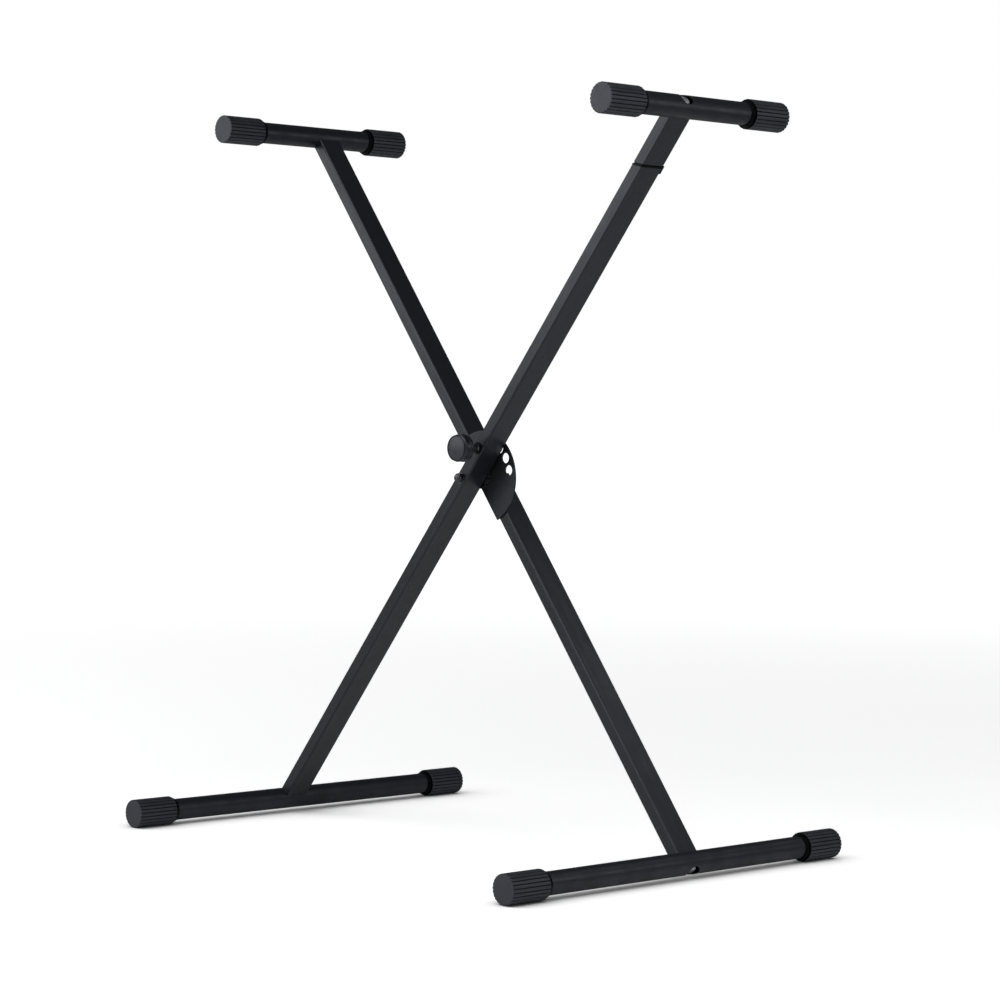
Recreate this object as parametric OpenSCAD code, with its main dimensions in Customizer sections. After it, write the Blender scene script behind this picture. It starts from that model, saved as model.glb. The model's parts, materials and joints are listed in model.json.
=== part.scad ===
// Folding keyboard stand with one pair of crossed arms.
// The frame of reference stands on the floor: X runs across the X of the arms, from the left
// foot bar to the right one, Y runs along the bars from front to rear, and Z is up.
// The origin is on the floor, midway between the foot bars and midway along them.

/* [Stance] */
// Angle of each arm from upright, as the stand is set
lean = 38.15; // [34:0.05:42]
// Distance from the pivot to the middle of a bar, along the arm
arm_reach = 520; // [400:5:600]
// Angle between two neighbouring holes of the sector plate
hole_pitch = 19.5; // [18:0.5:20]

/* [Arms] */
// Width of an arm, across the X
arm_w = 15; // [15:0.5:20]
// Depth of an arm, from front to rear
arm_d = 31.5; // [28:0.5:40]
// Wall of the arm tube
arm_wall = 1.2; // [1:0.1:1.5]
// Outer corner radius of the arm tube
arm_corner = 2; // [1.75:0.25:3]
// Gap between the front arm and the rear arm
arm_gap = 4.5; // [4:0.5:8]

/* [Bars] */
// Outer diameter of a foot bar
foot_bar_d = 25.4; // [25:0.2:30]
// Length of a foot bar over its caps
foot_bar_l = 514; // [400:2:600]
// Outer diameter of a top bar
top_bar_d = 25.4; // [25:0.2:28]
// Length of a top bar over its caps
top_bar_l = 278; // [220:1:320]
// Wall of a bar
bar_wall = 1.5; // [1.2:0.1:2]

/* [End caps] */
// Thickness of a foot cap around its bar, over the ribs
foot_cap_wall = 4; // [2.8:0.1:5]
// Thickness of a top cap around its bar, over the ribs
top_cap_wall = 4; // [2.8:0.1:5]
// Length of the ribbed body of a cap
cap_body_l = 53; // [40:1:65]
// Length of the plain lip at the mouth of a cap
cap_lip_l = 5; // [3:0.5:8]
// Number of ribs around a cap
cap_ribs = 24; // [20:2:36]

/* [Top section of the front arm] */
// Distance from the seam to the middle of the top bar, on the arm's axis
top_section_l = 77; // [65:1:95]
// Slant of the seam, away from a square cut
seam_slant = 24; // [0:1:30]
// Thickness of each of the collar's two steps, along the arm
collar_step = 1.9; // [1:0.1:3]
// Length of the spigot below the seam
spigot_depth = 70; // [40:5:100]

/* [Sector plate] */
// Outer radius of the plate
plate_r = 54.5; // [53.5:0.5:60]
// Radius of the circle that the lock holes lie on
lock_r = 44.5; // [43:0.5:46]
// Diameter of a lock hole
lock_hole_d = 12; // [11.8:0.1:12.6]
// Thickness of the plate
plate_t = 2; // [1.8:0.1:2.2]
// Depth of the flange folded back along the rear arm
flange_d = 12; // [6:1:20]

/* [Pull knob and pin] */
// Diameter of the knob
knob_d = 31.5; // [24:0.5:34]
// Length of the knob
knob_l = 31.7; // [28:0.1:34]
// Diameter of the pin's nose
nose_d = 11.4; // [11:0.1:11.5]
// Diameter of the pin's shank
shank_d = 6; // [5:0.1:6.4]
// Travel from the drawn pin to the engaged one
lock_travel = 2.1; // [1.6:0.1:2.1]

/* [Pivot] */
// Diameter of the pivot bolt
bolt_d = 6; // [5:0.5:6]
// Outer diameter of the sleeves that the bolt turns in
sleeve_d = 10; // [9:0.5:11]

/* [Hidden] */
$fn = 48;
contact_gap = 0.1;
foot_cap_d = foot_bar_d + 2 * foot_cap_wall;
top_cap_d = top_bar_d + 2 * top_cap_wall;
seam_at = arm_reach - top_section_l;
pivot_z = foot_cap_d / 2 + arm_reach * cos(lean);

// Front arm in front of rear arm, both beside the plane y = 0
front_y = -arm_gap / 2 - arm_d / 2;
rear_y = arm_gap / 2 + arm_d / 2;
front_face = -arm_gap / 2 - arm_d;
rear_face = arm_gap / 2 + arm_d;

// Screws that hold the bars
access_d = 18;
screw_hole_d = 8.4;
screw_d = 8;
screw_l = 42;
screw_head_d = 12.6;
screw_head_h = 5;
screw_socket_d = 6;
bar_spacer_d = 12.6;
plug_l = 30;
plug_gap = 0.05;

// Collar of the top section
collar_proud = 0.4;
collar_sunk = 0.5;
collar_tab_w = 11;
collar_tab_l = 10;
collar_tab_d = 3.7;
collar_tab_rise = 3.5;
spigot_clear = 2.5;

// Pivot stack
bolt_head_w = 10;
bolt_head_h = 4;
nut_h = 4.2;
nut_collar_h = 1.8;
nut_collar_d = 8.6;
washer_d = 12.5;
washer_t = 1.6;
bolt_end = 0.8;
spacer_d = 26;
spacer_t = 1.6;
running = 0.06;
pin_running = 0.08;

// Lock pin, in the plane of the front arm
plate_front = arm_gap / 2 - plate_t;
pin_clear = 0.25;
pin_tip = plate_front - pin_clear;
nose_l = 13;
nose_chamfer = 0.5;
pin_shoulder = pin_tip - nose_l;
bush_d = 12;
bush_flange_d = 14;
bush_flange_t = 0.8;
bush_back = front_face + 4;
knob_back = front_face - bush_flange_t - lock_travel - 0.3;
knob_face = knob_back - knob_l;
knob_head_l = 15.5;
knob_hub = 2;
knob_neck_r = 4.4;
knob_cap_d = knob_d - 5;
knob_cap_seat = 2;
pin_into_knob = 24;
spring_wire = 1;
spring_turns = 6;
spring_steps = 20;

// Holes of the sector plate, as angles from the front arm as the stand is set:
// two wider settings, the present one, two taller ones, and the folded one
closed_turn = 2 * lean - 4;
lock_turns = [-2 * hole_pitch, -hole_pitch, 0, hole_pitch, 2 * hole_pitch, closed_turn];

// ---- placing ----
// Frame of an arm: the pivot at the origin, local Z up along the arm, local X across it
module along_arm(tilt) translate([0, 0, pivot_z]) rotate([0, tilt, 0]) children();
module along_front() along_arm(lean) children();
module along_rear() along_arm(-lean) children();
// A shape drawn along Z, laid along Y with its base at y = 0
module lay() rotate([-90, 0, 0]) children();
// Middle of a bar, at the end of an arm
module at_end(tilt, reach) along_arm(tilt) translate([0, 0, reach]) children();

// ---- profiles ----
module round_rect(w, d, r) {
  square([w - 2 * r, d], center = true);
  square([w, d - 2 * r], center = true);
  for (x = [-1, 1], y = [-1, 1])
    translate([x * (w / 2 - r), y * (d / 2 - r)]) circle(r);
}

module arm_section() {
  difference() {
    round_rect(arm_w, arm_d, arm_corner);
    round_rect(arm_w - 2 * arm_wall, arm_d - 2 * arm_wall, arm_corner - arm_wall);
  }
}

// ---- arms ----
// Everything on the far side of the slanted seam, moved along the arm by shift
module beyond_seam(shift, sense) {
  big = 4 * arm_w;
  translate([0, 0, seam_at + shift]) rotate([0, -seam_slant, 0])
    translate([-big, -big, sense > 0 ? 0 : -big]) cube([2 * big, 2 * big, big]);
}

module bar_round(tilt, reach, d) at_end(tilt, reach) translate([0, -arm_reach / 2, 0]) lay()
  cylinder(h = arm_reach, d = d);

module pivot_hole(tilt, y, d) along_arm(tilt) translate([0, y, 0]) lay() cylinder(h = 2 * arm_d, d = d);

module front_arm_tube() color("#26272b") difference() {
  along_front() translate([0, front_y, -arm_reach])
    linear_extrude(arm_reach + seam_at + arm_w) arm_section();
  along_front() beyond_seam(-collar_step, 1);
  bar_round(lean, -arm_reach, foot_bar_d);
  pivot_hole(lean, front_face - arm_d / 2, sleeve_d);
  along_front() translate([0, front_face - arm_d / 2, lock_r]) lay() cylinder(h = arm_d, d = bush_d);
  along_front() translate([0, front_y, lock_r]) lay()
    cylinder(h = arm_d, d = nose_d + 2 * pin_running);
}

module front_top_section() color("#26272b") difference() {
  along_front() translate([0, front_y, seam_at - arm_w])
    linear_extrude(arm_reach - seam_at + arm_w) arm_section();
  along_front() beyond_seam(collar_step, -1);
  bar_round(lean, arm_reach, top_bar_d);
}

module spigot_profile(gap, wall) {
  w = arm_w - 2 * arm_wall - 2 * gap;
  d = arm_d - 2 * arm_wall - 2 * gap;
  difference() {
    round_rect(w, d, 1);
    square([w - 2 * wall, d - 2 * wall], center = true);
  }
}

module top_section_spigot() color("#8e9094")
  along_front() translate([0, front_y, seam_at - spigot_depth])
    linear_extrude(spigot_depth + top_section_l - top_bar_d / 2 - plug_l - spigot_clear)
      spigot_profile(plug_gap, arm_wall);

// Slanted slice of the arm's outline between two planes beside the seam
module seam_ring(from, to, outset) difference() {
  along_front() translate([0, front_y, seam_at - 2 * arm_w]) linear_extrude(4 * arm_w)
    difference() {
      round_rect(arm_w + 2 * outset, arm_d + 2 * outset, arm_corner);
      square([arm_w - 2 * arm_wall, arm_d - 2 * arm_wall], center = true);
    }
  along_front() beyond_seam(to, 1);
  along_front() beyond_seam(from, -1);
}

// Collar in the seam: a proud lower step, a sunk upper step and a tab behind the arm
module top_section_collar() color("#141416") {
  seam_ring(-collar_step, 0, collar_proud);
  seam_ring(0, collar_step, -collar_sunk);
  along_front() translate([-collar_tab_w / 2, -arm_gap / 2, seam_at - collar_tab_l + collar_tab_rise])
    cube([collar_tab_w, collar_tab_d, collar_tab_l]);
}

module rear_arm_tube() color("#26272b") difference() {
  along_rear() translate([0, rear_y, -arm_reach])
    linear_extrude(2 * arm_reach) arm_section();
  bar_round(-lean, -arm_reach, foot_bar_d);
  bar_round(-lean, arm_reach, top_bar_d);
  pivot_hole(-lean, 0, sleeve_d);
}

// Threaded plug in the end of an arm
module arm_plug(tilt, reach, y, bar_d) difference() {
  s = sign(reach);
  low = s > 0 ? reach - bar_d / 2 - plug_l : reach;
  along_arm(tilt) translate([0, y, low]) linear_extrude(plug_l + bar_d / 2)
    round_rect(arm_w - 2 * arm_wall - 2 * plug_gap, arm_d - 2 * arm_wall - 2 * plug_gap, 1);
  bar_round(tilt, reach, bar_d);
  along_arm(tilt) translate([0, y, low - 1]) cylinder(h = plug_l + bar_d, d = screw_d);
}

module left_foot_plug() color("#9a9ca0") arm_plug(lean, -arm_reach, front_y, foot_bar_d);
module right_top_plug() color("#9a9ca0") arm_plug(lean, arm_reach, front_y, top_bar_d);
module right_foot_plug() color("#9a9ca0") arm_plug(-lean, -arm_reach, rear_y, foot_bar_d);
module left_top_plug() color("#9a9ca0") arm_plug(-lean, arm_reach, rear_y, top_bar_d);

// ---- bars, each with a screw hole towards the arm and an access hole away from it ----
cap_end_t = 4;
module bar(tilt, reach, arm_y, d, l) {
  s = sign(reach);
  tube_l = l - 2 * cap_end_t;
  difference() {
    at_end(tilt, reach) translate([0, -tube_l / 2, 0]) lay() cylinder(h = tube_l, d = d, $fn = 64);
    at_end(tilt, reach) translate([0, -tube_l / 2 - 1, 0]) lay()
      cylinder(h = tube_l + 2, d = d - 2 * bar_wall, $fn = 64);
    at_end(tilt, reach) translate([0, arm_y, 0]) rotate([s > 0 ? 0 : 180, 0, 0])
      cylinder(h = d, d = access_d);
    at_end(tilt, reach) translate([0, arm_y, 0]) rotate([s > 0 ? 180 : 0, 0, 0])
      cylinder(h = d, d = screw_hole_d);
  }
}

module left_foot_bar() color("#232428") bar(lean, -arm_reach, front_y, foot_bar_d, foot_bar_l);
module right_top_bar() color("#232428") bar(lean, arm_reach, front_y, top_bar_d, top_bar_l);
module right_foot_bar() color("#232428") bar(-lean, -arm_reach, rear_y, foot_bar_d, foot_bar_l);
module left_top_bar() color("#232428") bar(-lean, arm_reach, rear_y, top_bar_d, top_bar_l);

// Seat of the screw's head, on the far side of the bar's axis from the arm
screw_seat = 5.5;

// Screw through the bar, its head seen in the access hole
module bar_screw(tilt, reach, y) {
  at_end(tilt, reach) translate([0, y, 0]) rotate([reach > 0 ? 0 : 180, 0, 0]) difference() {
    union() {
      translate([0, 0, screw_seat]) cylinder(h = screw_head_h, d = screw_head_d);
      translate([0, 0, screw_seat - screw_l]) cylinder(h = screw_l + screw_head_h / 4, d = screw_d);
    }
    translate([0, 0, screw_seat + screw_head_h / 2]) cylinder(h = screw_head_h, d = screw_socket_d, $fn = 6);
  }
}

// Spacer inside the bar, from the wall beside the arm to the screw's head, so that the bar isn't crushed
module bar_spacer(tilt, reach, y, bar_d) {
  at_end(tilt, reach) translate([0, y, 0]) rotate([reach > 0 ? 0 : 180, 0, 0]) difference() {
    intersection() {
      translate([0, 0, -bar_d]) cylinder(h = bar_d + screw_seat, d = bar_spacer_d);
      translate([0, -bar_spacer_d, 0]) lay()
        cylinder(h = 2 * bar_spacer_d, d = bar_d - 2 * bar_wall, $fn = 64);
    }
    translate([0, 0, -bar_d]) cylinder(h = 2 * bar_d, d = screw_hole_d);
  }
}

module left_foot_screw() color("#b9bbbe") bar_screw(lean, -arm_reach, front_y);
module right_top_screw() color("#b9bbbe") bar_screw(lean, arm_reach, front_y);
module right_foot_screw() color("#b9bbbe") bar_screw(-lean, -arm_reach, rear_y);
module left_top_screw() color("#b9bbbe") bar_screw(-lean, arm_reach, rear_y);
module left_foot_spacer() color("#8e9094") bar_spacer(lean, -arm_reach, front_y, foot_bar_d);
module right_top_spacer() color("#8e9094") bar_spacer(lean, arm_reach, front_y, top_bar_d);
module right_foot_spacer() color("#8e9094") bar_spacer(-lean, -arm_reach, rear_y, foot_bar_d);
module left_top_spacer() color("#8e9094") bar_spacer(-lean, arm_reach, rear_y, top_bar_d);

// ---- ribbed rubber caps ----
rib_groove_r = 1;
rib_groove_depth = 0.65;
cap_chamfer = 1.2;
mouth_groove_w = 1.7;
mouth_groove_wall = 1.3;
lip_wall = 2.2;
// Cap with its closed end at the origin and its mouth towards +Z
module cap(d, bar_d) {
  r = d / 2;
  groove_r = bar_d / 2 + mouth_groove_wall;
  difference() {
    rotate_extrude() polygon([
      [0, 0], [r - cap_chamfer, 0], [r, cap_chamfer], [r, cap_body_l - cap_chamfer],
      [r - cap_chamfer, cap_body_l], [groove_r, cap_body_l], [groove_r, cap_body_l + mouth_groove_w],
      [bar_d / 2 + lip_wall, cap_body_l + mouth_groove_w], [bar_d / 2 + lip_wall, cap_body_l + cap_lip_l],
      [bar_d / 2, cap_body_l + cap_lip_l], [bar_d / 2, cap_end_t], [0, cap_end_t]]);
    for (i = [0 : cap_ribs - 1]) rotate((i + 0.5) * 360 / cap_ribs)
      translate([r + rib_groove_r - rib_groove_depth, 0, -1])
        cylinder(h = cap_body_l + 1 + mouth_groove_w / 2, r = rib_groove_r, $fn = 16);
  }
}

// Front cap opens towards +Y, rear cap towards -Y
module bar_cap(tilt, reach, side, d, bar_d, l) at_end(tilt, reach) rotate([0, -tilt, 0])
  translate([0, side * l / 2, 0]) rotate([side < 0 ? -90 : 90, 0, 0]) rotate(90) cap(d, bar_d);
module foot_cap(tilt, side) bar_cap(tilt, -arm_reach, side, foot_cap_d, foot_bar_d, foot_bar_l);
module top_cap(tilt, side) bar_cap(tilt, arm_reach, side, top_cap_d, top_bar_d, top_bar_l);

module left_foot_cap_front() color("#303136") foot_cap(lean, -1);
module left_foot_cap_rear() color("#303136") foot_cap(lean, 1);
module right_foot_cap_front() color("#303136") foot_cap(-lean, -1);
module right_foot_cap_rear() color("#303136") foot_cap(-lean, 1);
module left_top_cap_front() color("#303136") top_cap(-lean, -1);
module left_top_cap_rear() color("#303136") top_cap(-lean, 1);
module right_top_cap_front() color("#303136") top_cap(lean, -1);
module right_top_cap_rear() color("#303136") top_cap(lean, 1);

// ---- pivot ----
// A plain ring or rod on the pivot's axis, from y0 to y1
module on_pivot(y0, y1, d) translate([0, y0, pivot_z]) lay() cylinder(h = y1 - y0, d = d);
module pivot_ring(y0, y1, d, hole) difference() {
  on_pivot(y0, y1, d);
  on_pivot(y0 - 1, y1 + 1, hole);
}

bolt_bore = bolt_d + 2 * running;
module front_pivot_sleeve() color("#a7a9ad") pivot_ring(front_face, -arm_gap / 2, sleeve_d, bolt_bore);
module rear_pivot_sleeve() color("#a7a9ad") pivot_ring(plate_front, rear_face, sleeve_d, bolt_bore);

bolt_tip = front_face - washer_t - nut_h - nut_collar_h - bolt_end;
head_seat = rear_face + contact_gap + washer_t;
module pivot_bolt() color("#1c1c1e") {
  on_pivot(bolt_tip, head_seat, bolt_d);
  translate([0, head_seat, pivot_z]) lay() cylinder(h = bolt_head_h, d = bolt_head_w / cos(30), $fn = 6);
}

module pivot_nut() color("#1c1c1e") difference() {
  union() {
    translate([0, front_face - washer_t - nut_h, pivot_z]) lay()
      cylinder(h = nut_h, d = bolt_head_w / cos(30), $fn = 6);
    on_pivot(front_face - washer_t - nut_h - nut_collar_h, front_face - washer_t - nut_h, nut_collar_d);
  }
  on_pivot(bolt_tip - 1, front_face, bolt_d);
}

module pivot_washers() color("#77797d") {
  pivot_ring(front_face - washer_t, front_face, washer_d, bolt_bore);
  pivot_ring(rear_face + contact_gap, head_seat, washer_d, bolt_bore);
}

module pivot_spacer() color("#77797d")
  pivot_ring(-arm_gap / 2, -arm_gap / 2 + spacer_t, spacer_d, bolt_bore);
module friction_washer() color("#d8d6cf")
  pivot_ring(-arm_gap / 2 + spacer_t, plate_front - contact_gap, spacer_d, bolt_bore);

// ---- sector plate ----
chord_x = -arm_w / 2 - plate_t;
flange_inset = 8;
module sector_plate() color("#2b2c30") {
  along_rear() difference() {
    union() {
      translate([0, plate_front, 0]) lay() intersection() {
        cylinder(h = plate_t, r = plate_r, $fn = 96);
        translate([chord_x, -plate_r, -1]) cube([2 * plate_r, 2 * plate_r, plate_t + 2]);
      }
      translate([chord_x, plate_front, flange_inset - plate_r])
        cube([plate_t, flange_d, 2 * (plate_r - flange_inset)]);
    }
    translate([0, plate_front - 1, 0]) lay() cylinder(h = plate_t + 2, d = sleeve_d);
    for (turn = lock_turns) rotate([0, 2 * lean - turn, 0])
      translate([0, plate_front - 1, lock_r]) lay() cylinder(h = plate_t + 1.8, d = lock_hole_d);
  }
}

// Weld beads that hold the plate to the side of the rear arm
weld_size = 3;
weld_l = 20;
weld_at = 27;
module plate_welds() color("#2b2c30") along_rear()
  for (z = [-weld_at, weld_at]) translate([arm_w / 2, arm_gap / 2, z - weld_l / 2])
    linear_extrude(weld_l) polygon([[0, 0], [weld_size, 0], [0, weld_size]]);

// ---- pull knob and lock pin ----
module on_pin() along_front() translate([0, 0, lock_r]) children();

module pin_bush() color("#2a2a2d") on_pin() difference() {
  union() {
    translate([0, front_face - bush_flange_t, 0]) lay() cylinder(h = bush_flange_t, d = bush_flange_d);
    translate([0, front_face, 0]) lay() cylinder(h = bush_back - front_face, d = bush_d);
  }
  translate([0, front_face - bush_flange_t - 1, 0]) lay()
    cylinder(h = arm_d, d = shank_d + 2 * pin_running);
}

// Outline of the knob: radius and distance behind its face
knob_r = knob_d / 2;
knob_outline = [
  [0, knob_cap_seat], [knob_cap_d / 2 + 0.3, knob_cap_seat], [knob_cap_d / 2 + 0.3, 0.6],
  [knob_r - 1.4, 0.6], [knob_r, 2], [knob_r, 4.4], [knob_r - 0.6, 4.8], [knob_r - 0.6, 11],
  [knob_r, 11.4], [knob_r, knob_head_l - 1], [knob_r - 1, knob_head_l],
  [knob_neck_r + knob_hub, knob_head_l], [knob_neck_r, knob_head_l + knob_hub],
  [knob_neck_r, knob_l], [0, knob_l]];

module pull_knob() color("#2d2e33") on_pin() difference() {
  translate([0, knob_face, 0]) lay() rotate_extrude() polygon(knob_outline);
  translate([0, knob_back - pin_into_knob, 0]) lay() cylinder(h = pin_into_knob + 1, d = shank_d);
}

// Domed disc let into the knob's face
dome_h = 1.2;
module knob_cap() color("#3b3c42") on_pin() translate([0, knob_face, 0]) lay() rotate_extrude()
  polygon(concat([[0, knob_cap_seat], [knob_cap_d / 2, knob_cap_seat]],
    [for (i = [0 : 8]) [knob_cap_d / 2 * cos(i * 90 / 8), dome_h * (1 - sin(i * 90 / 8))]]));

module lock_pin() color("#c0c2c6") on_pin() {
  translate([0, knob_back - pin_into_knob, 0]) lay()
    cylinder(h = pin_shoulder - knob_back + pin_into_knob, d = shank_d);
  translate([0, pin_shoulder, 0]) lay() cylinder(h = nose_l - nose_chamfer, d = nose_d);
  translate([0, pin_tip - nose_chamfer, 0]) lay()
    cylinder(h = nose_chamfer, d1 = nose_d, d2 = nose_d - 2 * nose_chamfer);
}

// Compression spring between the bush and the pin's shoulder, as one swept wire
spring_r = (shank_d + 0.4 + spring_wire) / 2;
spring_l = pin_shoulder - bush_back - spring_wire;
wire_sides = 8;
spring_rings = spring_turns * spring_steps;
// Point k around the wire, at ring i along it
function wire_point(i, k) =
  let (turn = 360 * i / spring_steps, around = 360 * k / wire_sides,
       r = spring_r + spring_wire / 2 * cos(around))
  [r * cos(turn), r * sin(turn), spring_wire / 2 * (1 + sin(around)) + spring_l * i / spring_rings];
function wire_index(i, k) = i * wire_sides + k % wire_sides;

module lock_spring() color("#b0b2b6") on_pin() translate([0, bush_back, 0]) lay()
  polyhedron(
    points = [for (i = [0 : spring_rings], k = [0 : wire_sides - 1]) wire_point(i, k)],
    faces = concat(
      [[for (k = [0 : wire_sides - 1]) k]],
      [[for (k = [wire_sides - 1 : -1 : 0]) wire_index(spring_rings, k)]],
      [for (i = [0 : spring_rings - 1], k = [0 : wire_sides - 1])
        [wire_index(i, k), wire_index(i + 1, k), wire_index(i + 1, k + 1), wire_index(i, k + 1)]]));

front_arm_tube();
front_top_section();
top_section_spigot();
top_section_collar();
left_foot_bar();
right_top_bar();
left_foot_cap_front();
left_foot_cap_rear();
right_top_cap_front();
right_top_cap_rear();
left_foot_plug();
right_top_plug();
left_foot_screw();
right_top_screw();
left_foot_spacer();
right_top_spacer();
front_pivot_sleeve();
pivot_bolt();
pivot_nut();
pivot_washers();
pivot_spacer();
friction_washer();
pin_bush();
rear_arm_tube();
right_foot_bar();
left_top_bar();
right_foot_cap_front();
right_foot_cap_rear();
left_top_cap_front();
left_top_cap_rear();
right_foot_plug();
left_top_plug();
right_foot_screw();
left_top_screw();
right_foot_spacer();
left_top_spacer();
rear_pivot_sleeve();
sector_plate();
plate_welds();
pull_knob();
knob_cap();
lock_pin();
lock_spring();
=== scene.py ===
import json
import math

import bpy
from mathutils import Matrix, Vector


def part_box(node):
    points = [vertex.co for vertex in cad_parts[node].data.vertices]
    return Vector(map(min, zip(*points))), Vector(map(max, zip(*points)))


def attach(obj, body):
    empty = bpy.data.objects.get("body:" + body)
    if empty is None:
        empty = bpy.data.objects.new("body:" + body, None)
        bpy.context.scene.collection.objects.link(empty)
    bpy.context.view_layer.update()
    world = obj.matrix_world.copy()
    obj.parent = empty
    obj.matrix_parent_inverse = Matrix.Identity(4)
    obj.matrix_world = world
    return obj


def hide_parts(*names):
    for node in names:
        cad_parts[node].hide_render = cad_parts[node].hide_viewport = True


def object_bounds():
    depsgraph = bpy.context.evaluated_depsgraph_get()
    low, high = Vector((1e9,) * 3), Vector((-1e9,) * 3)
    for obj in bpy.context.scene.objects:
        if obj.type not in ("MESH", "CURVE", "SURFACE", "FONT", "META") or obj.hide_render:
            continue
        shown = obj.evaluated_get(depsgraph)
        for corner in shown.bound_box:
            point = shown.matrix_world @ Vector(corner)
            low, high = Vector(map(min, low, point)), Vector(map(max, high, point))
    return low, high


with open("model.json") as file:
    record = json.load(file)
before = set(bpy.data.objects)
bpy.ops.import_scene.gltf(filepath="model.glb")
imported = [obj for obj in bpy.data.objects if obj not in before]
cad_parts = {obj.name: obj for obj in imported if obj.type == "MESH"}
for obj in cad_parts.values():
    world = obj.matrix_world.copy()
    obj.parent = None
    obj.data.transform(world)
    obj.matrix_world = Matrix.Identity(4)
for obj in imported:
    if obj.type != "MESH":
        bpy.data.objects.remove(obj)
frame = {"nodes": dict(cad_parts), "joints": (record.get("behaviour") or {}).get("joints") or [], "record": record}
CAD_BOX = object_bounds()
MM = 0.001
# Radius at which a turned skin is closed flat on its axis
AXIS_R = 0.2 * MM
NODES = frame["nodes"]

# ---- places, read from the frame ----
JOINTS = {joint["name"]: joint for joint in frame["joints"]}
PIVOT = Vector(JOINTS["fold"]["pos_m"])
# Each bar, with the body that it rides on
BARS = {
    "left_foot": "front_frame", "right_top": "front_frame",
    "right_foot": "rear_frame", "left_top": "rear_frame",
}


def middle(node):
    """Middle of a CAD node's box."""
    low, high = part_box(node)
    return (low + high) / 2


def size(node):
    """Size of a CAD node's box."""
    low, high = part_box(node)
    return high - low


def arm_lean():
    """Angle of the front arm from upright, from the pivot to its top bar."""
    top = middle("right_top_bar")
    return math.atan2(top.x - PIVOT.x, top.z - PIVOT.z)


LEAN = arm_lean()
# Frame of the rear arm: local Z runs up the arm and local X across it
REAR_ARM = Matrix.Translation(PIVOT) @ Matrix.Rotation(-LEAN, 4, "Y")


# ---- materials ----
class Shader:
    """A node material, built with few words: each call adds one node and returns its output."""

    def __init__(self, name):
        self.material = bpy.data.materials.new(name)
        self.material.use_nodes = True
        self.tree = self.material.node_tree
        self.surface = self.tree.nodes["Principled BSDF"]
        self.place = self.tree.nodes.new("ShaderNodeTexCoord").outputs["Object"]

    def add(self, kind, inputs=None, **settings):
        node = self.tree.nodes.new(kind)
        for key, value in settings.items():
            setattr(node, key, value)
        for key, value in (inputs or {}).items():
            self.feed(node.inputs[key], value)
        return node

    def feed(self, socket, value):
        if isinstance(value, bpy.types.NodeSocket):
            self.tree.links.new(value, socket)
        else:
            socket.default_value = value

    def set(self, **values):
        for key, value in values.items():
            self.feed(self.surface.inputs[key.replace("_", " ")], value)

    def noise(self, scale, detail=2.0, roughness=0.5, stretch=None, place=None):
        place = place or self.place
        if stretch:
            place = self.add("ShaderNodeMapping", {"Vector": place, "Scale": stretch}).outputs[0]
        inputs = {"Vector": place, "Scale": scale, "Detail": detail, "Roughness": roughness}
        return self.add("ShaderNodeTexNoise", inputs).outputs["Fac"]

    def spread(self, value, low, high, low_to=0.0, high_to=1.0):
        inputs = {"Value": value, "From Min": low, "From Max": high, "To Min": low_to, "To Max": high_to}
        return self.add("ShaderNodeMapRange", inputs).outputs[0]

    def math(self, operation, first, second=0.0):
        node = self.add("ShaderNodeMath", operation=operation)
        self.feed(node.inputs[0], first)
        self.feed(node.inputs[1], second)
        return node.outputs[0]

    def colours(self, value, *stops):
        node = self.add("ShaderNodeValToRGB", {"Fac": value})
        ramp = node.color_ramp
        while len(ramp.elements) < len(stops):
            ramp.elements.new(0.5)
        for element, (at, colour) in zip(ramp.elements, stops):
            element.position = at
            element.color = (*colour, 1.0)
        return node.outputs["Color"]

    def mix(self, factor, first, second):
        node = self.add("ShaderNodeMix", data_type="RGBA")
        self.feed(node.inputs["Factor"], factor)
        self.feed(node.inputs["A"], first)
        self.feed(node.inputs["B"], second)
        return node.outputs["Result"]

    def bump(self, height, strength, distance):
        inputs = {"Height": height, "Strength": strength, "Distance": distance}
        return self.add("ShaderNodeBump", inputs).outputs["Normal"]


def shade(colour, factor):
    """The colour, lighter or darker."""
    return tuple(channel * factor for channel in colour)


def painted_edge_highlight(s, base, lit_colour, reach, amount):
    """Painted highlight: paler colour within reach of the edges where faces meet, broken up by noise."""
    across = s.add("ShaderNodeBevel", {"Radius": reach}, samples=4).outputs[0]
    straight = s.add("ShaderNodeNewGeometry").outputs["True Normal"]
    turn = s.add("ShaderNodeVectorMath", operation="DOT_PRODUCT")
    s.feed(turn.inputs[0], across)
    s.feed(turn.inputs[1], straight)
    edge = s.spread(turn.outputs["Value"], 0.995, 0.90)
    patchy = s.spread(s.noise(210.0, 4.0, 0.7), 0.45, 0.65)
    return s.mix(s.math("MULTIPLY", s.math("MULTIPLY", edge, patchy), amount), base, (*lit_colour, 1.0))


# Tint of the highlights: the photo's black paint and rubber shine slightly blue
COOL = (0.86, 0.89, 1.0, 1.0)


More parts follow.
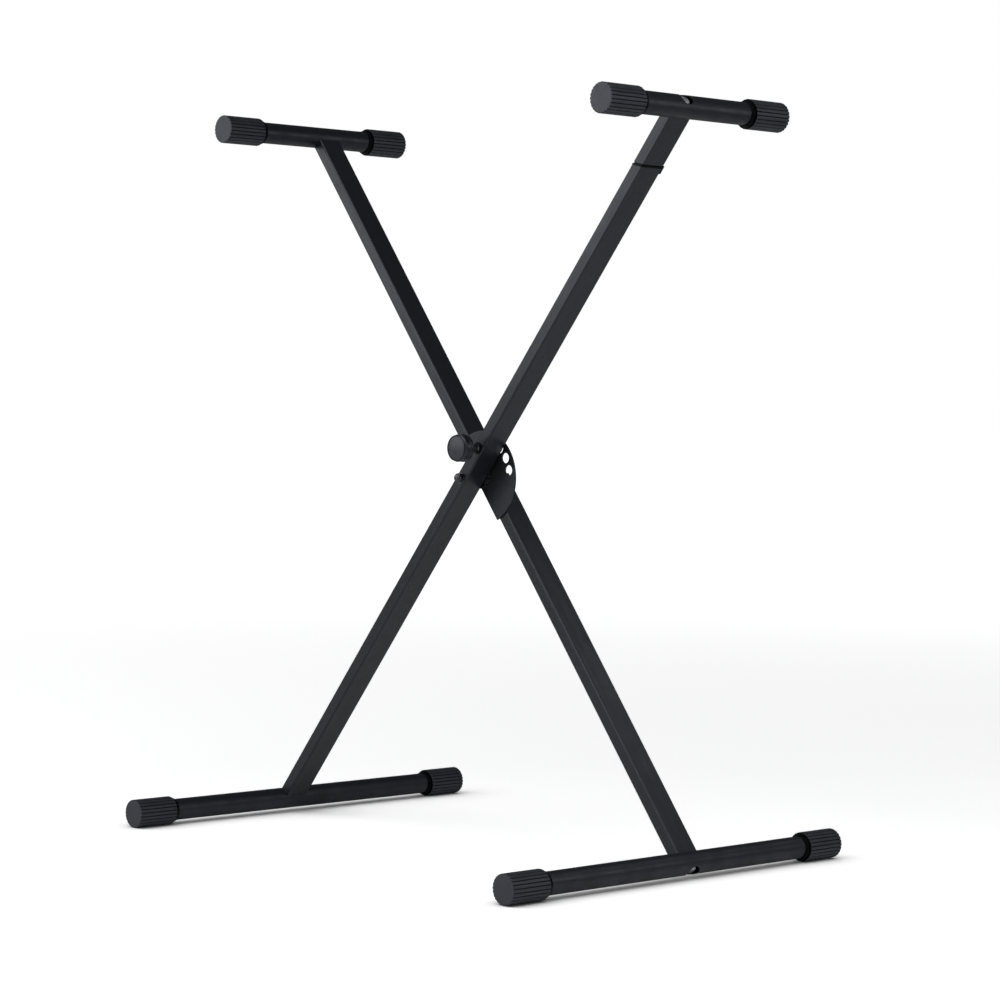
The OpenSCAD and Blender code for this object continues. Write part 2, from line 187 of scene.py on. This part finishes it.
def powder_coat(name, colour, roughness, lean=None):
    """Satin powder coat: orange peel, cloudy gloss, paler specks and a painted highlight along its edges.
    With a lean, the gloss is drawn out in streaks along an arm with that lean."""
    s = Shader(name)
    cloud = s.noise(38.0, 4.0, 0.6)
    if lean is not None:
        along = s.add("ShaderNodeMapping", {"Vector": s.place, "Rotation": (0.0, -lean, 0.0)}).outputs[0]
        streak = s.noise(1.0, 4.0, 0.65, (420.0, 420.0, 5.0), along)
        cloud = s.math("ADD", s.math("MULTIPLY", cloud, 0.35), s.math("MULTIPLY", streak, 0.65))
    speck = s.noise(2600.0, 2.0, 0.7)
    base = s.colours(cloud, (0.36, shade(colour, 0.70)), (0.64, shade(colour, 1.30)))
    dust = s.spread(speck, 0.68, 0.80)
    base = s.mix(s.math("MULTIPLY", dust, 0.4), base, (*shade(colour, 3.0), 1.0))
    # Painted highlight: paler colour along the edges, standing in for the light that the edges catch
    base = painted_edge_highlight(s, base, shade(colour, 4.0), 1.6 * MM, 0.5)
    peel = s.noise(1500.0, 2.0, 0.5)
    s.set(
        Base_Color=base,
        Roughness=s.spread(cloud, 0.36, 0.64, roughness + 0.08, roughness - 0.06),
        Normal=s.bump(peel, 0.30, 0.12 * MM),
        Specular_Tint=COOL,
    )
    return s.material


def rubber(name, colour, gloss=0.55):
    """Matt rubber with cloudy tone, a fine grain and paler scuffs."""
    s = Shader(name)
    cloud = s.noise(60.0, 4.0, 0.6)
    base = s.colours(cloud, (0.3, shade(colour, 0.80)), (0.7, shade(colour, 1.20)))
    grain = s.noise(3200.0, 3.0, 0.6)
    scuff = s.noise(420.0, 5.0, 0.7)
    base = s.mix(s.spread(scuff, 0.60, 0.80, 0.0, 0.5), base, (*shade(colour, 2.4), 1.0))
    s.set(
        Base_Color=base,
        Roughness=s.spread(cloud, 0.3, 0.7, 0.40, 0.54),
        Normal=s.bump(grain, 0.35, 0.10 * MM),
        Specular_Tint=COOL,
    )
    s.surface.inputs["Specular IOR Level"].default_value = gloss
    return s.material


def moulded_plastic(name, colour, roughness, gloss=0.5):
    """Plastic with a fine moulded grain and a painted highlight along its edges."""
    s = Shader(name)
    cloud = s.noise(90.0, 3.0, 0.5)
    base = s.colours(cloud, (0.3, shade(colour, 0.85)), (0.7, shade(colour, 1.15)))
    grain = s.noise(4200.0, 2.0, 0.5)
    # Painted highlight: paler colour along the edges, standing in for the light that the edges catch
    base = painted_edge_highlight(s, base, shade(colour, 2.5), 0.8 * MM, 0.5)
    s.set(
        Base_Color=base,
        Roughness=s.spread(cloud, 0.3, 0.7, roughness - 0.06, roughness + 0.06),
        Normal=s.bump(grain, 0.2, 0.06 * MM),
        Specular_Tint=COOL,
    )
    s.surface.inputs["Specular IOR Level"].default_value = gloss
    return s.material


def steel(name, colour, roughness, metallic=1.0):
    """Metal with cloudy gloss and a fine grain; plated when it is less than fully metallic."""
    s = Shader(name)
    cloud = s.noise(260.0, 4.0, 0.6)
    base = s.colours(cloud, (0.3, shade(colour, 0.75)), (0.7, shade(colour, 1.12)))
    grain = s.noise(5200.0, 3.0, 0.6)
    s.set(
        Base_Color=base,
        Metallic=metallic,
        Roughness=s.spread(cloud, 0.3, 0.7, roughness - 0.08, roughness + 0.10),
        Normal=s.bump(grain, 0.15, 0.04 * MM),
    )
    return s.material


ARM_BLACK = (0.0100, 0.0110, 0.0145)
ARM_ROUGHNESS = 0.32
MATERIALS = {
    "arm_paint": powder_coat("arm_paint", ARM_BLACK, ARM_ROUGHNESS, lean=LEAN),
    "bar_paint": powder_coat("bar_paint", (0.0065, 0.0080, 0.0110), 0.40),
    "plate_paint": powder_coat("plate_paint", (0.0090, 0.0105, 0.0130), 0.36),
    "cap_rubber": rubber("cap_rubber", (0.0230, 0.0260, 0.0320)),
    "knob_plastic": moulded_plastic("knob_plastic", (0.0035, 0.0045, 0.0060), 0.34),
    "knob_face": moulded_plastic("knob_face", (0.0290, 0.0315, 0.0380), 0.34),
    "collar_plastic": moulded_plastic("collar_plastic", (0.0022, 0.0024, 0.0030), 0.46, 0.12),
    "bare_steel": steel("bare_steel", (0.42, 0.43, 0.44), 0.4),
    "zinc_steel": steel("zinc_steel", (0.46, 0.47, 0.50), 0.30, 0.5),
    "washer_steel": steel("washer_steel", (0.16, 0.16, 0.17), 0.30),
    "black_fastener": steel("black_fastener", (0.10, 0.10, 0.11), 0.30),
    "friction_plastic": moulded_plastic("friction_plastic", (0.030, 0.030, 0.032), 0.5),
    "spring_steel": steel("spring_steel", (0.50, 0.51, 0.52), 0.3),
}
# Painted shade on a cap: near-black, barely glossy rubber laid on its rib grooves and on the lip at its mouth,
# where shade falls
CAP_PAINTED_SHADE = rubber("cap_painted_shade", (0.0016, 0.0018, 0.0022), 0.06)
SLOT_OF = {part["node"]: part["material_slot"] for part in frame["record"]["subparts"]}
for node_name, node in NODES.items():
    node.data.materials.clear()
    node.data.materials.append(MATERIALS[SLOT_OF[node_name]])
# The rear arm's streaks run along its own lean
REAR_ARM_PAINT = powder_coat("arm_paint_rear", ARM_BLACK, ARM_ROUGHNESS, lean=-LEAN)
NODES["rear_arm_tube"].data.materials[0] = REAR_ARM_PAINT


# ---- mesh helpers ----
def new_piece(name, points, faces, slot, body, place, replaces):
    """A mesh that rides on a body and stands in for the CAD nodes it replaces."""
    mesh = bpy.data.meshes.new(name)
    mesh.from_pydata([tuple(point) for point in points], [], faces)
    mesh.transform(place)
    mesh.validate()
    mesh.update()
    piece = bpy.data.objects.new(name, mesh)
    bpy.context.scene.collection.objects.link(piece)
    piece.data.materials.append(MATERIALS[slot])
    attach(piece, body)
    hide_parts(*replaces)
    return piece


def smooth(piece, angle):
    """Smooth shading, with creases where faces meet at more than the angle."""
    for polygon in piece.data.polygons:
        polygon.use_smooth = True
    piece.data.set_sharp_from_angle(angle=math.radians(angle))


def turned(stations, steps, radius):
    """Closed skin around local Z. radius(angle, station) gives its distance from the axis;
    the first and the last ring are closed flat."""
    points = []
    for station in stations:
        for step in range(steps):
            angle = 2 * math.pi * step / steps
            r = radius(angle, station)
            points.append((r * math.cos(angle), r * math.sin(angle), station["z"]))
    faces = [tuple(range(steps - 1, -1, -1))]
    for ring in range(len(stations) - 1):
        for step in range(steps):
            after = (step + 1) % steps
            low, high = ring * steps, (ring + 1) * steps
            faces.append((low + step, low + after, high + after, high + step))
    last = (len(stations) - 1) * steps
    faces.append(tuple(range(last, last + steps)))
    return points, faces


def outline_stations(outline):
    """Stations of a plain turned skin, from a list of (r, z)."""
    return [{"z": z, "r": r} for r, z in outline]


ARC_PIECES = 4


def rounded(outline):
    """The outline, a list of (r, z, radius), with an arc-like run of points at each corner
    that has a radius."""
    result = []
    for i, (r, z, radius) in enumerate(outline):
        if not radius or i in (0, len(outline) - 1):
            result.append((r, z))
            continue
        here = Vector((r, z))
        before = Vector(outline[i - 1][:2]) - here
        after = Vector(outline[i + 1][:2]) - here
        start = here + before.normalized() * min(radius, before.length * 0.49)
        end = here + after.normalized() * min(radius, after.length * 0.49)
        for k in range(ARC_PIECES + 1):
            t = k / ARC_PIECES
            point = start * (1 - t) ** 2 + here * 2 * t * (1 - t) + end * t ** 2
            result.append((point.x, point.y))
    return result


# ---- ribbed rubber caps ----
RIBS = 24
RIB_DEPTH = 1.35 * MM
# Share of a rib's depth lost between its crest and its shoulder, and of its pitch taken by the groove
CREST_FALL = 0.16
GROOVE_SHARE = 0.30
CAP_END_WALL = 4 * MM
CAP_LIP = 5 * MM
CAP_EDGE = 0.9 * MM
MOUTH_EDGE = 1.2 * MM
GROOVE_WALL = 1.2 * MM
LIP_WALL = 2.2 * MM
GROOVE_W = 0.9 * MM
CAP_FIT = 0.03 * MM
# Mesh steps around a rib, over a rounded edge and along the side
RIB_STEPS = 14
EDGE_STEPS = 6
SIDE_STEPS = 8


def rib_radius(angle, station):
    """Rounded ribs with narrow grooves between them, a rib's crest at angle 0."""
    across = abs((angle * RIBS / (2 * math.pi) + 0.5) % 1 - 0.5) * 2
    fall = CREST_FALL * across ** 2
    shoulder = 1 - GROOVE_SHARE
    if across > shoulder:
        fall += (1 - CREST_FALL) * math.sin(math.pi / 2 * (across - shoulder) / GROOVE_SHARE) ** 1.2
    return station["r"] - station.get("ribs", 0.0) * RIB_DEPTH * fall


def cap_stations(outer_r, bar_r, length):
    """Closed end, rounded edge, ribbed side, rounded mouth, groove and plain lip, then the inside."""
    body = length - CAP_LIP
    stations = [{"z": 0, "r": outer_r * share} for share in (0.02, 0.45, 0.8)]
    stations.append({"z": 0, "r": outer_r - 2.3 * MM})
    for k in range(EDGE_STEPS + 1):
        turn = math.radians(90 * k / EDGE_STEPS)
        stations.append({
            "z": CAP_EDGE * (1 - math.cos(turn)),
            "r": outer_r - CAP_EDGE * (1 - math.sin(turn)),
            "ribs": 0.85 + 0.15 * k / EDGE_STEPS,
        })
    for k in range(1, SIDE_STEPS):
        z = CAP_EDGE + (body - CAP_EDGE - MOUTH_EDGE) * k / SIDE_STEPS
        stations.append({"z": z, "r": outer_r, "ribs": 1.0})
    for k in range(EDGE_STEPS + 1):
        turn = math.radians(90 * k / EDGE_STEPS)
        stations.append({
            "z": body - MOUTH_EDGE * (1 - math.sin(turn)),
            "r": outer_r - MOUTH_EDGE * (1 - math.cos(turn)),
            "ribs": 1.0 - 0.8 * k / EDGE_STEPS,
        })
    lip_r = bar_r + LIP_WALL
    lip = rounded([
        (bar_r + GROOVE_WALL, body, 0), (bar_r + GROOVE_WALL, body + GROOVE_W, 0.3 * MM),
        (lip_r, body + GROOVE_W, 0.5 * MM), (lip_r - 0.9 * MM, length, 0.6 * MM),
        (bar_r + CAP_FIT, length, 0.2 * MM), (bar_r + CAP_FIT, CAP_END_WALL, 0),
        (0.02 * outer_r, CAP_END_WALL, 0)])
    return stations + outline_stations(lip)


def ribbed_cap(node, bar, body):
    """Cap with its closed end outwards. Local Z points from the closed end to the mouth."""
    outer_r = size(node).x / 2
    bar_r = size(bar).x / 2
    low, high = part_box(node)
    inwards = 1 if middle(node).y < middle(bar).y else -1
    end = Vector((middle(node).x, low.y if inwards > 0 else high.y, middle(node).z))
    turn = Matrix.Rotation(math.radians(-90 * inwards), 4, "X") @ Matrix.Rotation(math.radians(90), 4, "Z")
    points, faces = turned(cap_stations(outer_r, bar_r, size(node).y), RIBS * RIB_STEPS, rib_radius)
    piece = new_piece(f"{node}_moulded", points, faces, "cap_rubber", body,
                      Matrix.Translation(end) @ turn, (node,))
    piece.data.materials.append(CAP_PAINTED_SHADE)
    # Painted shade: faces deep in the rib grooves and at the mouth take the near-black rubber
    mouth = size(node).y - CAP_LIP - 0.3 * MM
    groove = outer_r - 0.55 * RIB_DEPTH
    for polygon in piece.data.polygons:
        along = abs(polygon.center.y - end.y)
        out = math.hypot(polygon.center.x - end.x, polygon.center.z - end.z)
        if along > mouth or (along > CAP_EDGE and bar_r + 1.0 * MM < out < groove):
            polygon.material_index = 1
    smooth(piece, 50)


for bar_name, bar_body in BARS.items():
    for side in ("front", "rear"):
        ribbed_cap(f"{bar_name}_cap_{side}", f"{bar_name}_bar", bar_body)


# ---- knob ----
KNOB_STEPS = 120


def knob_place():
    """Local Z runs from the knob's face towards the arm."""
    centre = middle("pull_knob")
    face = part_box("knob_cap")[0].y
    return Matrix.Translation((centre.x, face, centre.z)) @ Matrix.Rotation(math.radians(-90), 4, "X")


def turned_knob_part(name, outline, slot, replaced, crease):
    """Piece of the knob, turned from a list of (r, z) behind the face."""
    points, faces = turned(outline_stations(outline), KNOB_STEPS, lambda angle, station: station["r"])
    piece = new_piece(name, points, faces, slot, "pull_pin", knob_place(), (replaced,))
    smooth(piece, crease)
    return piece


# Distances behind the knob's face: ring groove, raised bead, end of the grip, back of the head,
# and seat of the face disc
KNOB_RING = 1.7 * MM
KNOB_BEAD = 2.5 * MM
KNOB_BEAD_END = 4.6 * MM
KNOB_GRIP_END = 11.0 * MM
KNOB_HEAD = 15.5 * MM
DISC_SEAT = 2.0 * MM
# Radius of the neck, and how far the face disc is domed
KNOB_NECK_R = 4.4 * MM
DISC_DOME = 1.3 * MM
DOME_STEPS = 12


def build_knob():
    """Knob with a recessed face, a ring groove, a raised bead and a neck, and its domed face disc."""
    outer = size("pull_knob").x / 2
    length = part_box("pull_knob")[1].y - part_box("knob_cap")[0].y
    disc = size("knob_cap").x / 2
    body = rounded([
        (AXIS_R, DISC_SEAT, 0), (disc + 0.4 * MM, DISC_SEAT, 0.3 * MM),
        (disc + 0.5 * MM, 0.7 * MM, 0.3 * MM),
        (outer - 1.4 * MM, 0.7 * MM, 0.4 * MM), (outer - 0.8 * MM, 1.2 * MM, 0.4 * MM),
        (outer - 0.8 * MM, KNOB_RING, 0.2 * MM), (outer - 2.0 * MM, KNOB_RING + 0.2 * MM, 0.2 * MM),
        (outer - 2.0 * MM, KNOB_BEAD - 0.1 * MM, 0.2 * MM),
        (outer - 0.3 * MM, KNOB_BEAD + 1.1 * MM, 0.4 * MM),
        (outer, KNOB_BEAD_END - 0.5 * MM, 0.4 * MM), (outer - 0.2 * MM, KNOB_BEAD_END, 0.3 * MM),
        (outer - 0.3 * MM, KNOB_BEAD_END + 0.4 * MM, 0.2 * MM), (outer - 0.3 * MM, KNOB_GRIP_END, 0.4 * MM),
        (outer, KNOB_GRIP_END + 0.5 * MM, 0.4 * MM),
        (outer, KNOB_HEAD, 1.8 * MM), (KNOB_NECK_R + 2.0 * MM, KNOB_HEAD, 0.4 * MM),
        (KNOB_NECK_R, KNOB_HEAD + 2.0 * MM, 1.2 * MM), (KNOB_NECK_R, length, 0.4 * MM),
        (AXIS_R, length, 0)])
    knob = turned_knob_part("pull_knob_moulded", body, "knob_plastic", "pull_knob", 35)
    # Painted highlight and painted shade: the bead's faces take the pale knob_face material as a highlight ring,
    # and the ring groove's faces the near-black collar_plastic as shade
    knob.data.materials.append(MATERIALS["knob_face"])
    knob.data.materials.append(MATERIALS["collar_plastic"])
    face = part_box("knob_cap")[0].y
    for polygon in knob.data.polygons:
        behind = polygon.center.y - face
        if KNOB_BEAD < behind < KNOB_BEAD_END:
            polygon.material_index = 1
        elif KNOB_RING < behind < KNOB_BEAD:
            polygon.material_index = 2
    dome = [(AXIS_R, DISC_SEAT - 0.1 * MM), (disc, DISC_SEAT - 0.1 * MM)]
    for k in range(DOME_STEPS + 1):
        share = 1 - k / DOME_STEPS
        dome.append((disc * share + AXIS_R * (1 - share), DISC_DOME * share ** 2))
    turned_knob_part("knob_face_disc", dome, "knob_face", "knob_cap", 60)


build_knob()


# ---- pivot nut and bolt ----
def hex_radius(angle, flat):
    """Distance from the axis to the side of a hexagon, flat being half its width across flats."""
    sixth = math.pi / 3
    return flat / math.cos((angle % sixth) - sixth / 2)


def hex_skin(outline, steps):
    """Turned skin whose stations can be cut by a hexagon: (round radius, z, half width across flats)."""
    stations = [{"z": z, "r": r, "flat": flat} for r, z, flat in outline]

    def radius(angle, station):
        if station["flat"]:
            return min(station["r"], hex_radius(angle, station["flat"]))
        return station["r"]

    return turned(stations, steps, radius)


def facing(centre, outwards):
    """Local Z along -Y when outwards is -1, along +Y when it is 1."""
    return Matrix.Translation(centre) @ Matrix.Rotation(math.radians(-90 * outwards), 4, "X")


HEX_STEPS = 96
NUT_COLLAR_H = 1.8 * MM
THREAD_PITCH = 1.0 * MM
THREAD_DEPTH = 0.45 * MM
THREAD_L = 14 * MM
TIP_CHAMFER = 0.6 * MM
ROD_STEPS = 48
STATIONS_PER_TURN = 8
BOLT_HEAD_H = 4.0 * MM
BOLT_R = 3.0 * MM


def nut_outline(corner, flat, height, collar_r, collar_h):
    """Chamfered hexagon with a round nylon collar on top."""
    rise = 0.55 * MM
    return [
        (AXIS_R, 0, 0), (flat * 0.96, 0, 0), (corner * 0.97, rise * 0.6, flat), (corner, rise, flat),
        (corner, height - rise, flat), (corner * 0.97, height - rise * 0.6, flat), (flat * 0.96, height, 0),
        (collar_r + 0.2 * MM, height, 0), (collar_r, height + 0.3 * MM, 0),
        (collar_r, height + collar_h - 0.7 * MM, 0), (collar_r - 0.3 * MM, height + collar_h - 0.2 * MM, 0),
        (collar_r - 0.9 * MM, height + collar_h, 0), (AXIS_R, height + collar_h, 0)]


def threaded_rod(radius, length, plain):
    """Rod along Z from 0: plain up to the given height, then threaded up to a chamfered tip."""
    stations = [{"z": z, "r": r, "cut": 0} for r, z in ((AXIS_R, 0), (radius, 0), (radius, plain))]
    count = max(2, int((length - plain) / THREAD_PITCH * STATIONS_PER_TURN))
    for k in range(1, count + 1):
        z = plain + (length - plain) * k / count
        chamfer = max(0.0, z - (length - TIP_CHAMFER))
        stations.append({"z": z, "r": radius - chamfer, "cut": min(1.0, k / STATIONS_PER_TURN)})
    stations.append({"z": length, "r": AXIS_R, "cut": 0})

    def thread(angle, station):
        if not station["cut"]:
            return station["r"]
        phase = (station["z"] / THREAD_PITCH - angle / (2 * math.pi)) % 1
        return station["r"] - station["cut"] * THREAD_DEPTH * (1 - abs(2 * phase - 1))

    return turned(stations, ROD_STEPS, thread)


def build_pivot():
    """Nut and threaded shank in front, bolt head behind."""
    low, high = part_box("pivot_nut")
    centre = middle("pivot_nut")
    flat = min(size("pivot_nut").x, size("pivot_nut").z) / 2
    corner = flat / math.cos(math.pi / 6)
    collar_r = flat * 0.86
    height = (high.y - low.y) - NUT_COLLAR_H
    points, faces = hex_skin(nut_outline(corner, flat, height, collar_r, NUT_COLLAR_H), HEX_STEPS)
    nut = new_piece("pivot_nut_turned", points, faces, "black_fastener", "front_frame",
                    facing(Vector((centre.x, high.y, centre.z)), -1), ("pivot_nut",))
    smooth(nut, 25)

    bolt_low, bolt_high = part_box("pivot_bolt")
    shank_l = (bolt_high.y - bolt_low.y) - BOLT_HEAD_H
    points, faces = threaded_rod(BOLT_R, shank_l, shank_l - THREAD_L)
    shank = new_piece("pivot_bolt_shank", points, faces, "black_fastener", "front_frame",
                      facing(Vector((centre.x, bolt_high.y - BOLT_HEAD_H, centre.z)), -1), ("pivot_bolt",))
    smooth(shank, 60)
    rise = 0.5 * MM
    head = [
        (AXIS_R, 0, 0), (flat * 0.9, 0, 0), (flat * 0.94, 0.2 * MM, 0), (corner, 0.2 * MM, flat),
        (corner, BOLT_HEAD_H - rise, flat), (corner * 0.97, BOLT_HEAD_H - rise * 0.6, flat),
        (flat * 0.95, BOLT_HEAD_H, 0), (flat * 0.6, BOLT_HEAD_H, 0), (flat * 0.55, BOLT_HEAD_H - 0.2 * MM, 0),
        (AXIS_R, BOLT_HEAD_H - 0.2 * MM, 0)]
    points, faces = hex_skin(head, HEX_STEPS)
    piece = new_piece("pivot_bolt_head", points, faces, "black_fastener", "front_frame",
                      facing(Vector((centre.x, bolt_high.y - BOLT_HEAD_H, centre.z)), 1), ("pivot_bolt",))
    smooth(piece, 25)


build_pivot()


# ---- bar screws, seen through the access holes ----
SCREW_SEAT = 5.5 * MM
SCREW_HEAD_H = 5.0 * MM
SCREW_HEAD_R = 6.3 * MM
SCREW_R = 4.0 * MM
SCREW_L = 42.0 * MM
SCREW_STEPS = 72
SOCKET_FLAT = 2.6 * MM
SOCKET_CORNER = SOCKET_FLAT * 1.15
SOCKET_DEPTH = 2.4 * MM
DOME_H = 2.8 * MM


def socket_screw(node, bar, body, tilt):
    """Domed screw with a hexagon socket; its head lies inside the bar, its thread in the arm."""
    place = middle(bar)
    upwards = 1 if place.z > PIVOT.z else -1
    axis = Vector((math.sin(tilt), 0, math.cos(tilt))) * upwards
    seat = Vector((place.x, middle(node).y, place.z)) + axis * SCREW_SEAT
    turn = axis.to_track_quat("Z", "Y").to_matrix().to_4x4()
    top = SCREW_HEAD_H
    outline = [
        (AXIS_R, -SCREW_L, 0), (SCREW_R - 0.6 * MM, -SCREW_L, 0), (SCREW_R, -SCREW_L + 0.6 * MM, 0),
        (SCREW_R, 0, 0), (SCREW_HEAD_R - 0.3 * MM, 0, 0), (SCREW_HEAD_R, 0.3 * MM, 0),
        *((SCREW_HEAD_R * math.cos(math.radians(a)), top - DOME_H * (1 - math.sin(math.radians(a))), 0)
          for a in range(0, 61, 10)),
        (SOCKET_CORNER, top - 0.4 * MM, SOCKET_FLAT), (SOCKET_CORNER, top - SOCKET_DEPTH, SOCKET_FLAT),
        (AXIS_R, top - SOCKET_DEPTH - 0.5 * MM, 0)]
    points, faces = hex_skin(outline, SCREW_STEPS)
    piece = new_piece(f"{node}_socketed", points, faces, "zinc_steel", body,
                      Matrix.Translation(seat) @ turn, (node,))
    smooth(piece, 30)


for bar_name, bar_body in BARS.items():
    tilt = LEAN if bar_body == "front_frame" else -LEAN
    socket_screw(f"{bar_name}_screw", f"{bar_name}_bar", bar_body, tilt)


# ---- weld beads between the sector plate and the rear arm ----
BEAD_RIPPLES = 11
BEAD_L = 20 * MM
BEAD_AT = 27 * MM
BEAD_SIZE = 3.0 * MM
RIPPLE_STEPS = 8
BEAD_STEPS = 14
# Half of the arm's width, and how far the bead reaches into its corner
ARM_HALF = 7.5 * MM
BEAD_ROOT = 0.2 * MM


def weld_bead(name, along):
    """Rippled bead in the corner between the plate's back and the arm's side."""
    count = BEAD_RIPPLES * RIPPLE_STEPS
    corner_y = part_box("rear_arm_tube")[0].y
    points = []
    for i in range(count + 1):
        t = i / count
        end = min(1.0, 4.5 * min(t, 1 - t) + 0.25) ** 0.5
        ripple = 0.90 + 0.10 * abs(math.sin(math.pi * BEAD_RIPPLES * t))
        wobble = 0.03 * math.sin(17.0 * t + 9.0 * along / MM)
        r = BEAD_SIZE * end * (ripple + wobble)
        height = along - BEAD_L / 2 + BEAD_L * t
        for k in range(BEAD_STEPS + 1):
            turn = math.pi / 2 * k / BEAD_STEPS
            swell = r * (0.74 + 0.26 * abs(math.cos(2 * turn)))
            points.append((ARM_HALF + swell * math.cos(turn), corner_y + swell * math.sin(turn), height))
        points.append((ARM_HALF - BEAD_ROOT, corner_y - BEAD_ROOT, height))
    ring = BEAD_STEPS + 2
    faces = [tuple(range(ring - 1, -1, -1)), tuple(range(count * ring, (count + 1) * ring))]
    for i in range(count):
        for k in range(ring):
            after = (k + 1) % ring
            low, high = i * ring, (i + 1) * ring
            faces.append((low + k, low + after, high + after, high + k))
    piece = new_piece(name, points, faces, "plate_paint", "rear_frame", REAR_ARM, ("plate_welds",))
    smooth(piece, 40)


weld_bead("weld_bead_upper", BEAD_AT)
weld_bead("weld_bead_lower", -BEAD_AT)


# ---- softened edges on parts that keep their CAD shape ----
SOFT_EDGES = {
    "sector_plate": 0.35 * MM, "top_section_collar": 0.25 * MM, "pivot_spacer": 0.2 * MM,
    "pivot_washers": 0.25 * MM, "pin_bush": 0.2 * MM,
    "left_foot_bar": 0.4 * MM, "right_foot_bar": 0.4 * MM,
    "left_top_bar": 0.4 * MM, "right_top_bar": 0.4 * MM,
}


def soften(node, width):
    """Bevel on a CAD part's sharp edges, as a modifier."""
    bevel = NODES[node].modifiers.new("soft_edge", "BEVEL")
    bevel.width = width
    bevel.segments = 2
    bevel.limit_method = "ANGLE"
    bevel.angle_limit = math.radians(40)
    bevel.use_clamp_overlap = True


for node_name, width in SOFT_EDGES.items():
    soften(node_name, width)


# ---- camera, floor and light ----
CAMERA_FROM_PIVOT = Vector((2.467, -2.277, 0.108))
CAMERA_AZIMUTH = math.radians(46.94)
CAMERA_ELEVATION = math.radians(-2.28)
CAMERA_ROLL = math.radians(1.09)
CAMERA_LENS = 104.2


def build_camera():
    """Camera placed from the pivot, as solved from the photo's perspective."""
    camera = bpy.data.objects.new("camera", bpy.data.cameras.new("camera"))
    bpy.context.scene.collection.objects.link(camera)
    camera.data.lens = CAMERA_LENS
    camera.data.sensor_width = 36.0
    camera.data.clip_end = 100.0
    turn = (
        Matrix.Rotation(CAMERA_AZIMUTH, 4, "Z")
        @ Matrix.Rotation(math.pi / 2 + CAMERA_ELEVATION, 4, "X")
        @ Matrix.Rotation(CAMERA_ROLL, 4, "Z")
    )
    camera.matrix_world = Matrix.Translation(PIVOT + CAMERA_FROM_PIVOT) @ turn
    bpy.context.scene.camera = camera


FLOOR_REACH = 30.0
FLOOR_GAP = 0.2 * MM


def build_floor():
    """White floor that glows a little to the camera, less so close under the object, where its glow is dimmed into
    a painted contact shadow.
    """
    reach = FLOOR_REACH
    mesh = bpy.data.meshes.new("floor")
    mesh.from_pydata([(-reach, -reach, 0), (reach, -reach, 0), (reach, reach, 0), (-reach, reach, 0)],
                     [], [(0, 1, 2, 3)])
    floor = bpy.data.objects.new("floor", mesh)
    bpy.context.scene.collection.objects.link(floor)
    floor.location.z = CAD_BOX[0][2] - FLOOR_GAP
    s = Shader("floor_white")
    away = s.add("ShaderNodeVectorMath", {0: s.place}, operation="LENGTH").outputs["Value"]
    glow = s.spread(away, 0.7, 5.0, 0.55, 1.05)
    # Painted contact shadow: the camera glow fades where ambient occlusion finds the object close
    painted_shadow_ao = s.add("ShaderNodeAmbientOcclusion", {"Distance": 0.09}, samples=8).outputs["AO"]
    glow = s.math("MULTIPLY", glow, s.spread(painted_shadow_ao, 0.25, 0.95, 0.0, 1.0))
    seen = s.add("ShaderNodeLightPath").outputs["Is Camera Ray"]
    s.set(Base_Color=(0.85, 0.85, 0.85, 1.0), Roughness=0.9, Emission_Color=(1.0, 1.0, 1.0, 1.0),
          Emission_Strength=s.math("MULTIPLY", glow, seen))
    s.surface.inputs["Specular IOR Level"].default_value = 0.0
    mesh.materials.append(s.material)


def add_area(name, place, aim, width, height, power):
    """Rectangular lamp at a place, aimed at another; sizes in metres, power in watts."""
    light = bpy.data.objects.new(name, bpy.data.lights.new(name, "AREA"))
    bpy.context.scene.collection.objects.link(light)
    light.data.shape = "RECTANGLE"
    light.data.size = width
    light.data.size_y = height
    light.data.energy = power
    light.matrix_world = Matrix.Translation(place) @ (
        (Vector(aim) - Vector(place)).to_track_quat("-Z", "Y").to_matrix().to_4x4())


def build_light():
    """World that looks white and lights dimly, and seven area lamps placed around the object."""
    world = bpy.data.worlds.new("studio")
    bpy.context.scene.world = world
    world.use_nodes = True
    tree = world.node_tree
    dim = tree.nodes["Background"]
    dim.inputs["Color"].default_value = (0.95, 0.97, 1.0, 1.0)
    dim.inputs["Strength"].default_value = 0.07
    white = tree.nodes.new("ShaderNodeBackground")
    white.inputs["Color"].default_value = (1.0, 1.0, 1.0, 1.0)
    white.inputs["Strength"].default_value = 1.0
    path = tree.nodes.new("ShaderNodeLightPath")
    mix = tree.nodes.new("ShaderNodeMixShader")
    tree.links.new(path.outputs["Is Camera Ray"], mix.inputs["Fac"])
    tree.links.new(dim.outputs[0], mix.inputs[1])
    tree.links.new(white.outputs[0], mix.inputs[2])
    tree.links.new(mix.outputs[0], tree.nodes["World Output"].inputs["Surface"])
    add_area("key_front_left", (-1.5, -2.1, 1.45), (0, 0, 0.6), 2.8, 2.1, 34)
    add_area("strip_front", (0.15, -3.0, 1.0), (0, 0, 0.5), 0.6, 1.8, 6)
    add_area("strip_back_right", (1.80, 1.36, 0.95), (0.32, 0, 0.75), 0.7, 0.7, 3.0)
    add_area("panel_back", (0.50, 0.98, 1.02), (0.28, 0, 0.1), 0.5, 0.45, 0.45)
    add_area("side_right", (0.95, -0.15, 1.15), (0.32, 0, 0.45), 0.5, 0.5, 2.4)
    add_area("floor_right", (0.85, 0.05, 0.40), (0.42, 0, 0), 0.3, 0.5, 0.5)
    add_area("overhead_front", (0.3, -1.6, 3.0), (0, 0, 0), 3.0, 3.0, 42)


build_camera()
build_floor()
build_light()
bpy.context.scene.view_settings.view_transform = "Standard"
